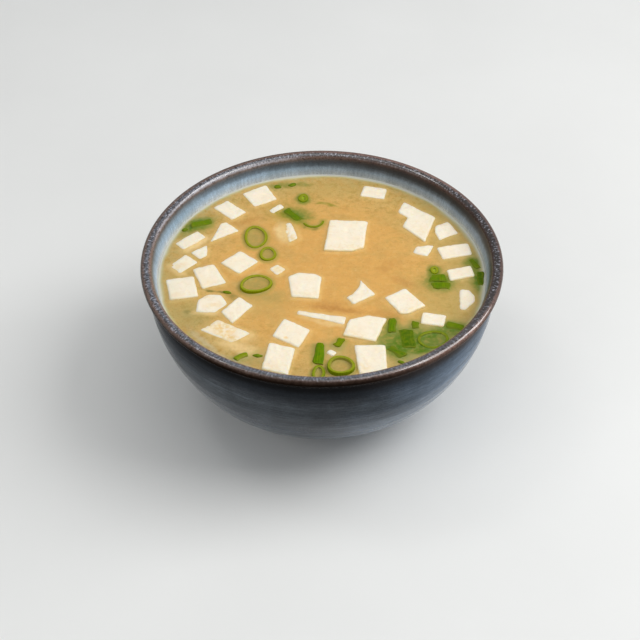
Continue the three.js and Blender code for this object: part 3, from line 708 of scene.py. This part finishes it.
def curd_material():
    """Bean curd: warm white, light going a little way in, with faint pores and a darker, yellower tone
    where soup has soaked in or lies over it. The same yellow on the sides is a painted bounce light from
    the soup."""
    s = Shader("silken_curd")
    colour = s.mix(s.noise(5, 3), tone(243, 225, 196), tone(249, 238, 219))
    spots = s.fade(s.noise(1.1, 3, shift=5), 0.52, 0.75)
    colour = s.tint(colour, spots, 0.35, (232, 208, 168))
    soaked_and_bounce = s.fade(s.value("above_soup"), 0, 0.45, 0.8, 0)
    # The sides get the same warm yellow, a painted bounce light from the soup.
    upward = s.add("SeparateXYZ", {"Vector": s.add("NewGeometry", {}, "Normal")}, "Z")
    soaked_and_bounce = s.math("MAXIMUM", soaked_and_bounce, s.fade(upward, 0.3, 0.95, 0.9, 0))
    colour = s.mix(soaked_and_bounce, colour, tone(255, 222, 158))
    uneven = s.fade(s.noise(1.5, 3), 0.36, 0.56, 0.15, 1)
    colour = s.tint(colour, s.value("film"), uneven, (238, 204, 142))
    pores = s.bump(s.noise(0.45, 4), 0.05)
    return s.finish({"Base Color": colour, "Roughness": 0.42, "IOR": 1.37, "Normal": pores,
                     "Subsurface Weight": 0.6, "Subsurface Radius": (1.0, 0.8, 0.55),
                     "Subsurface Scale": 2.2 * MM, "Specular IOR Level": 0.3})


def worn_copy(node):
    """Points in millimetres, normals and faces of a node's own solid, after it is filled with
    small voxels and its edges are rubbed round by smoothing."""
    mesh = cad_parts[node].data.copy()
    work = bmesh.new()
    work.from_mesh(mesh)
    bmesh.ops.remove_doubles(work, verts=work.verts, dist=WELD * MM)
    work.to_mesh(mesh)
    work.free()
    block = into_scene(node + "_worn", mesh)
    remesh = block.modifiers.new("voxels", "REMESH")
    remesh.mode = "VOXEL"
    remesh.voxel_size = TOFU_VOXEL * MM
    smooth = block.modifiers.new("rub", "SMOOTH")
    smooth.iterations = TOFU_ROUNDS
    worn = bpy.data.meshes.new_from_object(block.evaluated_get(bpy.context.evaluated_depsgraph_get()))
    points, normals = (np.empty(len(worn.vertices) * 3, np.float32) for _ in range(2))
    worn.vertices.foreach_get("co", points)
    worn.vertices.foreach_get("normal", normals)
    corners = np.empty(len(worn.loops), np.int32)
    worn.loops.foreach_get("vertex_index", corners)
    bpy.data.objects.remove(block)
    return points.reshape(-1, 3).astype(float) / MM, normals.reshape(-1, 3), corners.reshape(-1, 4)


def cut_tofu(node, material):
    """A block whose faces are moved in and out by noise: broad swells, small tears and pits."""
    points, normals, faces = worn_copy(node)
    swell = 0.15 * lattice_noise(points, 3.6, 21) + 0.1 * lattice_noise(points, 1.4, 23)
    pits = 0.07 * np.minimum(lattice_noise(points, 0.7, 25), 0)
    points += normals * (swell + pits)[:, None]
    film = np.max([strength * cover(points, *oval) for *oval, strength in SOUP_FILM], axis=0)
    make_piece(node + "_curd", points, faces, material, "tofu", [node],
               above_soup=points[:, 2] - SOUP_LEVEL, film=film)


curd = curd_material()
for tofu_node in sorted(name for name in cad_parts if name.startswith("tofu")):
    cut_tofu(tofu_node, curd)


# ---- Scallions -----------------------------------
# The green tops of scallions: hollow tubes sliced into rings, curls that have sprung open, and
# lengths pressed flat. Outside is bright and finely ribbed, inside paler and slippery.

LEAF_WALL = 0.6
LEAF_PRESSED = 2 / 3     # the power that makes a leaf's oval section flat-sided
WELL_INSIDE = 9.0        # written as the distance from the edge where soup laps over no edge

# The row of a ring, curl or leaf ends with how dark a green it is, from 0 for the yellow-green
# of a shank to 1 for the deep green of an outer leaf, and with how strongly soup veils it. Before
# that, for a ring: place, width and length across the tube, height along it, rise above the soup,
# turn, tilts and thickness of the wall.
RINGS = [
    (-24.6, 20.3, 8.6, 12.6, 2.6, 0.8, 4, 2, 0, 1.1, 0, 0),
    (-19.8, 10.5, 6.2, 7.8, 2.4, 0.8, 0, 0, 2, 1.1, 0, 0),
    (-23.6, -6.4, 12, 9.8, 3, 1.1, 24, -4, 2, 1.1, 0, 0),
    (-7.1, 44.2, 4, 5.2, 2.2, 0.6, 0, 0, 0, 1.5, 0.3, 0.1),
    (40.9, 1.5, 3.1, 4.2, 2.2, 0.6, 0, 0, 0, 1.1, 0.15, 0),
    (38.4, -35.4, 11, 8.8, 2, 0.6, 12, 2, 1, 1.1, 0.5, 1.4),
    (-1.2, -52.4, 4.5, 7.8, 3, 1, -6, 0, 0, 1.1, 0.4, 0),
    (6.4, -48.9, 9.5, 9.2, 3.6, 1.6, 0, -3, 1, 1.1, 0.2, 0),
]
# For a curl: place, radius, first and last angle, height, rise and thickness of the wall.
CURLS = [
    (-3.2, 30.4, 3.7, -165, 5, 2.2, 0.5, 0.9, 0.3, 0.2),
    (-23.5, -50.5, 7.8, 103, 141, 2.4, 0.9, 2, 0.45, 0),
]
# For a leaf: place, length along it, width, rise, turn, thickness and tilts.
LEAVES = [
    (-10.8, 33.7, 8, 3.4, 0.6, -50, 1.6, 2, 0, 0.6, 0.8),
    (-45.4, 28.9, 7, 4.2, 0.6, 14, 1.6, 0, 2, 0.45, 0.65),
    (42.1, -2.9, 3.7, 6, 0.7, 88, 1.6, 0, 0, 0.55, 0.35),
    (42.6, -7, 3.7, 6.4, 0.7, 88, 1.6, 0, 0, 0.6, 0.3),
    (57.2, -3.4, 7.2, 2.3, 0.8, 88, 1.6, 0, -4, 0.9, 0.35),
    (55.8, 5.6, 5.4, 2, 0.5, -60, 1.6, 0, 0, 0.7, 0.5),
    (24.5, -28.4, 6.8, 3, 0.8, 88, 1.6, 0, 0, 0.5, 0.45),
    (29.5, -34.8, 8.8, 5.4, 0.6, -84, 1.6, 1, 0, 0.85, 0.55),
    (32.5, -27.9, 3.6, 2.8, 0.6, 82, 1.6, 0, 0, 0.5, 0.7),
    (46.7, -28.5, 6, 3.4, 0.6, -22, 1.6, 0, 1, 0.55, 0.6),
    (25.6, -41.2, 6.4, 2.8, 0.6, -45, 1.6, 0, 0, 0.65, 0.75),
    (5.8, -37.2, 4.2, 3.2, 0.9, 60, 2, 0, 0, 0.2, 0.1),
    (-1.1, -42.9, 9.4, 3.4, 1.1, 87, 2, 2, 0, 0.5, 0),
]
# Shreds too small to be pieces of their own: place, length, breadth, turn and thickness.
SHREDS = [
    (-17.1, 51.8, 3, 2.2, 0, 1.2), (-11.3, 53, 3.2, 2.2, 20, 1.2), (-51.3, 25.2, 2.6, 1.8, 30, 1.2),
    (27, -46.4, 2.6, 1.6, -20, 1.2), (-21.9, -43.2, 3.4, 1.6, -8, 1.2), (-34, -10.4, 3.6, 1.4, -14, 1.2),
]
SHRED_SHADE = (0.4, 1)    # how dark and how veiled they are


def leaf_material():
    """Scallion green. The outer skin is ribbed along the tube, and the inner skin and the cut are
    paler. Soup drowns what lies low in it, clouds a veiled piece in patches, and laps over the
    edges of a veiled leaf."""
    s = Shader("scallion_green")
    ribs = s.add("CombineXYZ", {"X": s.value("around"), "Y": s.times(s.value("length"), 0.05)})
    veins = s.add("TexNoise", {"Vector": ribs, "Scale": 2.6, "Detail": 2})
    vein = s.fade(veins, 0.38, 0.66, 0.84, 1.12)
    skin = s.ramp(s.value("dark"), [(0, (130, 140, 0)), (0.5, (92, 126, 0)), (1, (50, 87, 0))])
    skin = s.shade(skin, vein)
    patch = s.fade(s.noise(1.6, 3), 0.4, 0.62)
    skin = s.tint(skin, patch, 0.4, (124, 136, 0))
    inner = s.mix(s.noise(1.2, 3), tone(140, 144, 40), tone(176, 172, 78))
    colour = s.mix(s.fade(s.value("inward"), -0.3, 0.5), skin, inner)
    pith = s.mix(s.noise(0.5, 2), tone(128, 138, 14), tone(158, 156, 40))
    pith = s.mix(s.value("dark"), pith, skin)
    cut_face = s.times(s.value("cut"), s.fade(s.value("inward"), -0.95, -0.5))
    colour = s.mix(s.times(cut_face, 0.85), colour, pith)
    lapped = s.math("MULTIPLY_ADD", s.noise(1.1, 3, shift=9), -1.6, s.value("above_soup"))
    drowned = s.fade(lapped, -0.75, -0.1, 0.7, 0)
    veil = s.value("veil")
    clouded = s.times(veil, s.fade(s.noise(1.5, 2), 0.3, 0.7, 0, 0.6))
    drowned = s.math("MAXIMUM", drowned, clouded)
    shore = s.math("ADD", s.value("edge"), -0.7)
    shore = s.math("MULTIPLY_ADD", s.noise(1, 3, shift=4), 1.4, shore)
    lapping = s.times(veil, s.fade(shore, 0, 1, 2.2, 0))
    drowned = s.math("MAXIMUM", drowned, lapping)
    drowned = s.math("MINIMUM", drowned, 0.85)
    colour = s.mix(drowned, colour, tone(108, 118, 28))
    ribbing = s.bump(veins, 0.03)
    return s.finish({"Base Color": colour, "Roughness": 0.38, "IOR": 1.36, "Normal": ribbing,
                     "Specular IOR Level": 0.12, "Subsurface Weight": 0.25,
                     "Subsurface Radius": (0.8, 0.9, 0.2), "Subsurface Scale": 0.8 * MM})


def tube_surface(half_wide, half_long, tall, wall, swell, span=None, seed=0, pressed=1.0):
    """A cut length of tube standing on Z, its top at z = 0. A rounded section, the superellipse
    |x / half the wall|⁶ + |z / half of tall|⁸ = 1, is carried round an oval whose radius swells
    three times: swell holds how far and from which angle. The cosine and sine of the oval are
    raised to the power pressed, and below one that presses it square. Given a span of angles,
    the section shrinks to nothing at both ends of it."""
    count, section = 132, 36
    if span is None:
        angle = np.linspace(0, 2 * np.pi, count, endpoint=False)
        pinch = np.ones(count)
    else:
        share = np.linspace(-1, 1, count)
        angle = np.radians(span[0]) + np.radians(span[1] - span[0]) * (share + 1) / 2
        pinch = np.maximum(1 - np.abs(share) ** 14, 0) ** (1 / 3)
    grow = 1 + swell[0] * np.cos(3 * angle + swell[1])
    oval = np.stack([np.cos(angle), np.sin(angle)], axis=-1)
    oval = np.sign(oval) * np.abs(oval) ** pressed
    outer = oval * (half_wide, half_long) * grow[:, None]
    inner = outer * np.array([(half_wide - wall) / half_wide, (half_long - wall) / half_long])
    v = np.linspace(0, 2 * np.pi, section, endpoint=False)
    inward = np.sign(np.cos(v)) * np.abs(np.cos(v)) ** (1 / 3)
    level = np.sign(np.sin(v)) * np.abs(np.sin(v)) ** (1 / 4)
    reach = (inward * pinch[:, None] + 1) / 2
    flat = outer[:, None] * (1 - reach[..., None]) + inner[:, None] * reach[..., None]
    height = tall / 2 * (level * pinch[:, None] - 1)
    points = np.concatenate([flat, height[..., None]], axis=-1).reshape(-1, 3)
    step = np.linalg.norm(np.diff(outer, axis=0, append=outer[:1]), axis=1)
    around = np.repeat(np.concatenate([[0], np.cumsum(step)[:-1]]), section)
    from_above = points * (1, 1, 0) + seed
    ragged = 0.07 * lattice_noise(from_above, 1.1, 31) + 0.04 * lattice_noise(from_above, 0.5, 33)
    ribs = 0.03 * np.sin(2 * np.pi * around / 0.75 + 3 * lattice_noise(from_above, 2, 35))
    level, inward = (np.tile(row, count) for row in (level, inward))
    points[:, 2] += ragged * level
    ring = np.hypot(points[:, 0], points[:, 1]) + 1e-6
    points[:, :2] *= (1 - ribs * inward / ring)[:, None]
    values = {"around": around, "inward": inward, "cut": np.clip((np.abs(level) - 0.9) * 20, 0, 1),
              "length": points[:, 2].copy(), "edge": np.full(len(points), WELL_INSIDE)}
    return points, grid_faces(count, section, span is None, True), values


def placed(points, x, y, rise, turn, tip_x=0, tip_y=0):
    """Points turned about Z, then tipped about Y and X, and set afloat at that rise."""
    a, b, c = (math.radians(angle) for angle in (tip_x, tip_y, turn))
    about_x = np.array([[1, 0, 0], [0, math.cos(a), -math.sin(a)], [0, math.sin(a), math.cos(a)]])
    about_y = np.array([[math.cos(b), 0, math.sin(b)], [0, 1, 0], [-math.sin(b), 0, math.cos(b)]])
    about_z = np.array([[math.cos(c), -math.sin(c), 0], [math.sin(c), math.cos(c), 0], [0, 0, 1]])
    return points @ (about_x @ about_y @ about_z).T + (x, y, SOUP_LEVEL + rise)


def lay_scallion(node, points, faces, values, dark, veil):
    """Makes a scallion piece that stands for its node."""
    make_piece(node + "_cut", points, faces, scallion, "scallion", [node],
               above_soup=points[:, 2] - SOUP_LEVEL, dark=np.full(len(points), dark),
               veil=np.full(len(points), veil), **values)


scallion = leaf_material()

for i, (x, y, wide, long, tall, rise, turn, tip_x, tip_y, wall, *shade) in enumerate(RINGS):
    ring, faces, values = tube_surface(wide / 2, long / 2, tall, wall, (0.03, i), seed=i)
    ring = placed(ring, x, y, rise, turn, tip_x, tip_y)
    lay_scallion(f"scallion_ring_{i + 1}", ring, faces, values, *shade)

for i, (x, y, radius, first, last, tall, rise, wall, *shade) in enumerate(CURLS):
    outer = radius + wall / 2
    curl, faces, values = tube_surface(outer, outer, tall, wall, (0, 0), (first, last), seed=20 + i)
    lay_scallion(f"scallion_curl_{i + 1}", placed(curl, x, y, rise, 0), faces, values, *shade)

# A leaf is a flat tube laid on its side, its outline torn by noise.
for i, (x, y, long, wide, rise, turn, away_side, tip_x, tip_y, *shade) in enumerate(LEAVES):
    leaf, faces, values = tube_surface(away_side / 2, wide / 2, long, LEAF_WALL, (0, 0), seed=40 + i,
                                       pressed=LEAF_PRESSED)
    lying = np.stack([leaf[:, 2] + long / 2, leaf[:, 1], -leaf[:, 0] - away_side / 2], axis=-1)
    values["edge"] = np.minimum(long / 2 - np.abs(lying[:, 0]), wide / 2 - np.abs(lying[:, 1]))
    lying[:, 0] += 0.65 * lattice_noise(lying * (1, 1, 0) + 7 * i, 2.2, 51)
    lying[:, 1] += 0.6 * lattice_noise(lying * (1, 1, 0) + 7 * i, 2.2, 53)
    lying[:, :2] += 0.25 * lattice_noise(lying * (1, 1, 0) + 7 * i, 1.1, 55)[:, None]
    lying = placed(lying, x, y, rise, turn, tip_x, tip_y)
    lay_scallion(f"scallion_leaf_{i + 1}", lying, faces, values, *shade)


def shred_surface(long, wide, away_side, seed):
    """A flat ellipsoid, cos(u) cos(v), cos(u) sin(v), sin(u), its edge torn by noise."""
    rows, columns = 21, 48
    u = np.linspace(-np.pi / 2, np.pi / 2, rows)[:, None]
    v = np.linspace(0, 2 * np.pi, columns, endpoint=False)[None, :]
    unit = np.broadcast_arrays(np.cos(u) * np.cos(v), np.cos(u) * np.sin(v), np.sin(u))
    points = np.stack(unit, axis=-1).reshape(-1, 3) * (long / 2, wide / 2, away_side / 2)
    points *= (1 + 0.16 * lattice_noise(points * (1, 1, 0) + seed, 0.9, 37))[:, None]
    return points, grid_faces(rows, columns, closed_columns=True)


shreds = []
shred_faces = []
for i, (x, y, long, wide, turn, away_side) in enumerate(SHREDS):
    shred, faces = shred_surface(long, wide, away_side, 60 + i)
    shred_faces.append(faces + sum(len(points) for points in shreds))
    shreds.append(placed(shred, x, y, 0, turn))
shreds = np.concatenate(shreds)
zero = np.zeros(len(shreds))
make_piece("scallion_shreds", shreds, np.concatenate(shred_faces), scallion, "scallion",
           above_soup=shreds[:, 2] - SOUP_LEVEL, around=shreds[:, 0], inward=zero - 1,
           cut=zero, length=shreds[:, 1], edge=zero + WELL_INSIDE,
           dark=zero + SHRED_SHADE[0], veil=zero + SHRED_SHADE[1])


# ---- Table, light and camera ---------------------
# A pale matt table in a bright room. The light comes mostly from a wide window high on the right,
# then from overhead and from a pale wall at the front left, and a little from two small windows.

def table_material():
    """Pale plaster, faintly clouded."""
    s = Shader("pale_table")
    colour = s.mix(s.noise(90, 4), tone(226, 225, 222), tone(236, 235, 232))
    grain = s.bump(s.noise(1.5, 4), 0.03)
    return s.finish({"Base Color": colour, "Roughness": 0.7, "Normal": grain})


TABLE_HALF = 2.0
table_mesh = bpy.data.meshes.new("table")
corners = [(TABLE_HALF * x, TABLE_HALF * y, 0) for x, y in ((-1, -1), (1, -1), (1, 1), (-1, 1))]
table_mesh.from_pydata(corners, [], [(0, 1, 2, 3)])
table_mesh.materials.append(table_material())
table = into_scene("table", table_mesh)

# Each window: direction it stands in and height above the horizon in degrees, width and height
# in metres, and power.
WINDOWS = {
    "window_right": (0, 50, 0.62, 0.52, 5.1), "window_left": (158, 61, 0.2, 0.2, 0.5),
    "skylight": (90, 88, 0.7, 0.7, 1.75), "window_low": (14, 24, 0.26, 0.22, 0.9),
    "pale_wall": (222, 30, 0.8, 0.6, 1.7),
}
WINDOW_AWAY = 0.9
DAYLIGHT = (0.98, 0.99, 1.0)
for name, (toward, height, wide, tall, power) in WINDOWS.items():
    azimuth, elevation = math.radians(toward), math.radians(height)
    pane = bpy.data.lights.new(name, "AREA")
    pane.shape = "RECTANGLE"
    pane.size = wide
    pane.size_y = tall
    pane.energy = power
    pane.color = DAYLIGHT
    window = into_scene(name, pane)
    out, up = WINDOW_AWAY * math.cos(elevation), WINDOW_AWAY * math.sin(elevation)
    window.location = (out * math.cos(azimuth), out * math.sin(azimuth), up + BOWL_HEIGHT * MM)
    window.rotation_euler = (math.pi / 2 - elevation, 0, azimuth + math.pi / 2)

room = bpy.data.worlds.new("bright_room")
room.use_nodes = True
sky = room.node_tree.nodes["Background"]
sky.inputs["Color"].default_value = (0.93, 0.97, 1.0, 1.0)
sky.inputs["Strength"].default_value = 0.32
bpy.context.scene.world = room

CAMERA_PLACE = (-0.00065, -0.4136, 0.4046)
CAMERA_TILT = 47.7    # degrees up from looking straight down
view = bpy.data.cameras.new("camera")
view.lens = 84.375
view.sensor_width = 36.0
camera = into_scene("camera", view)
camera.location = CAMERA_PLACE
camera.rotation_euler = (math.radians(CAMERA_TILT), 0, 0)
bpy.context.scene.camera = camera
bpy.context.scene.view_settings.view_transform = "Standard"
